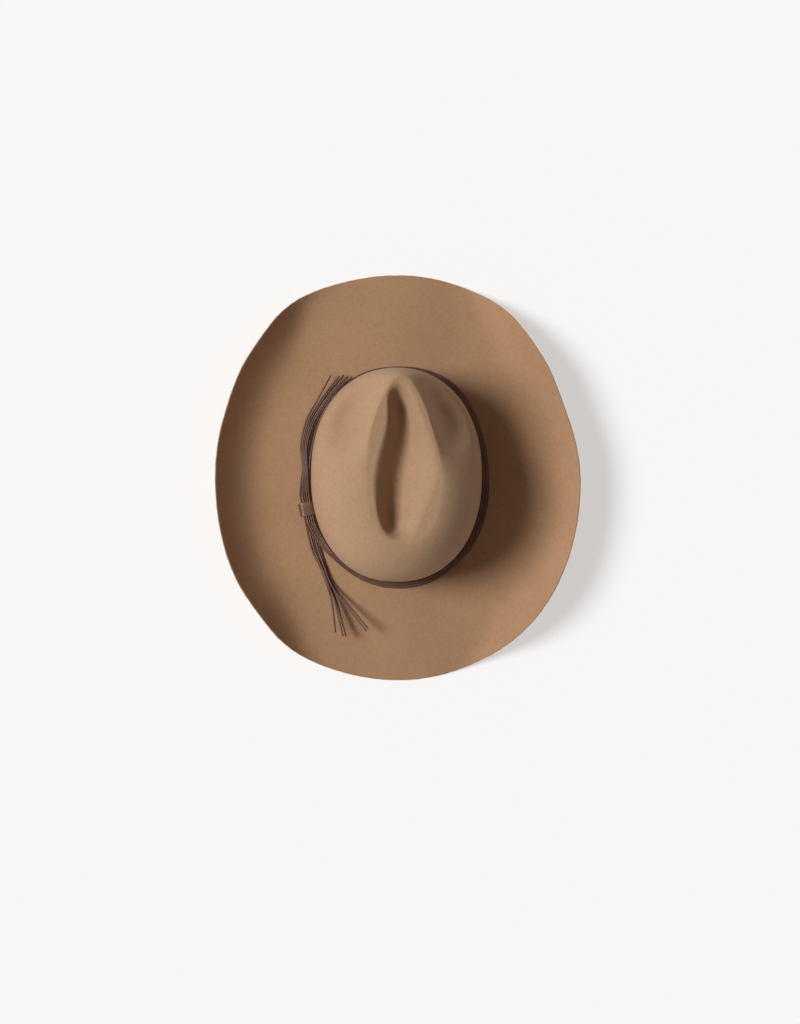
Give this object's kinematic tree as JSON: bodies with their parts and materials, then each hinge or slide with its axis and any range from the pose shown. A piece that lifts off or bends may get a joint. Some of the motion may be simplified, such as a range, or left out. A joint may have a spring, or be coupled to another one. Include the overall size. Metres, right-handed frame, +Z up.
{
  "type": "fedora hat",
  "caption": "Wide-brim felt fedora with a creased, pinched teardrop crown, rolled brim sides and a twisted-cord band closed by a leather keeper with two fringed tails.",
  "frame": {"origin": "on the surface that the brim rests on, under the middle of the hat", "axes": "+Z up; the front of the hat faces -Y; the wearer's left is +X"},
  "size_m": [0.3612, 0.4076, 0.128],
  "materials": {
    "felt": "matte wool felt, camel tan",
    "cord": "waxed twisted cord, dark red-brown",
    "keeper_leather": "satin leather, brown",
    "lace": "waxed lace",
    "sweatband_leather": "smooth leather",
    "reed_plastic": "matte",
    "cotton_tape": "woven cotton",
    "thread": "cotton thread",
    "ribbon": "grosgrain ribbon"
  },
  "bodies": {
    "hat": {"felt_body": "felt", "reed_tape": "cotton_tape", "sweatband": "sweatband_leather", "sweatband_bow": "ribbon", "sweatband_reed": "reed_plastic", "sweatband_seam_stitching": "thread", "sweatband_stitching": "thread"},
    "band": {"band_cord_1": "cord", "band_cord_2": "cord", "band_cord_3": "cord", "band_cord_4": "cord", "band_cord_5": "cord", "front_tail_1": "cord", "front_tail_2": "cord", "front_tail_3": "cord", "front_tail_4": "cord", "front_tail_5": "cord", "rear_tail_1": "cord", "rear_tail_2": "cord", "rear_tail_3": "cord", "rear_tail_4": "cord", "rear_tail_5": "cord"},
    "keeper": {"keeper": "keeper_leather", "keeper_lacing": "lace"}
  },
  "joints": [
    {"name": "band_lift", "type": "slide", "parent": "hat", "child": "band", "axis": [0, 0, 1], "range_m": [0, 0.13]},
    {"name": "keeper_slide", "type": "slide", "parent": "band", "child": "keeper", "axis": [-0.1942, 0.981, 0], "range_m": [-0.004, 0.004]}
  ]
}
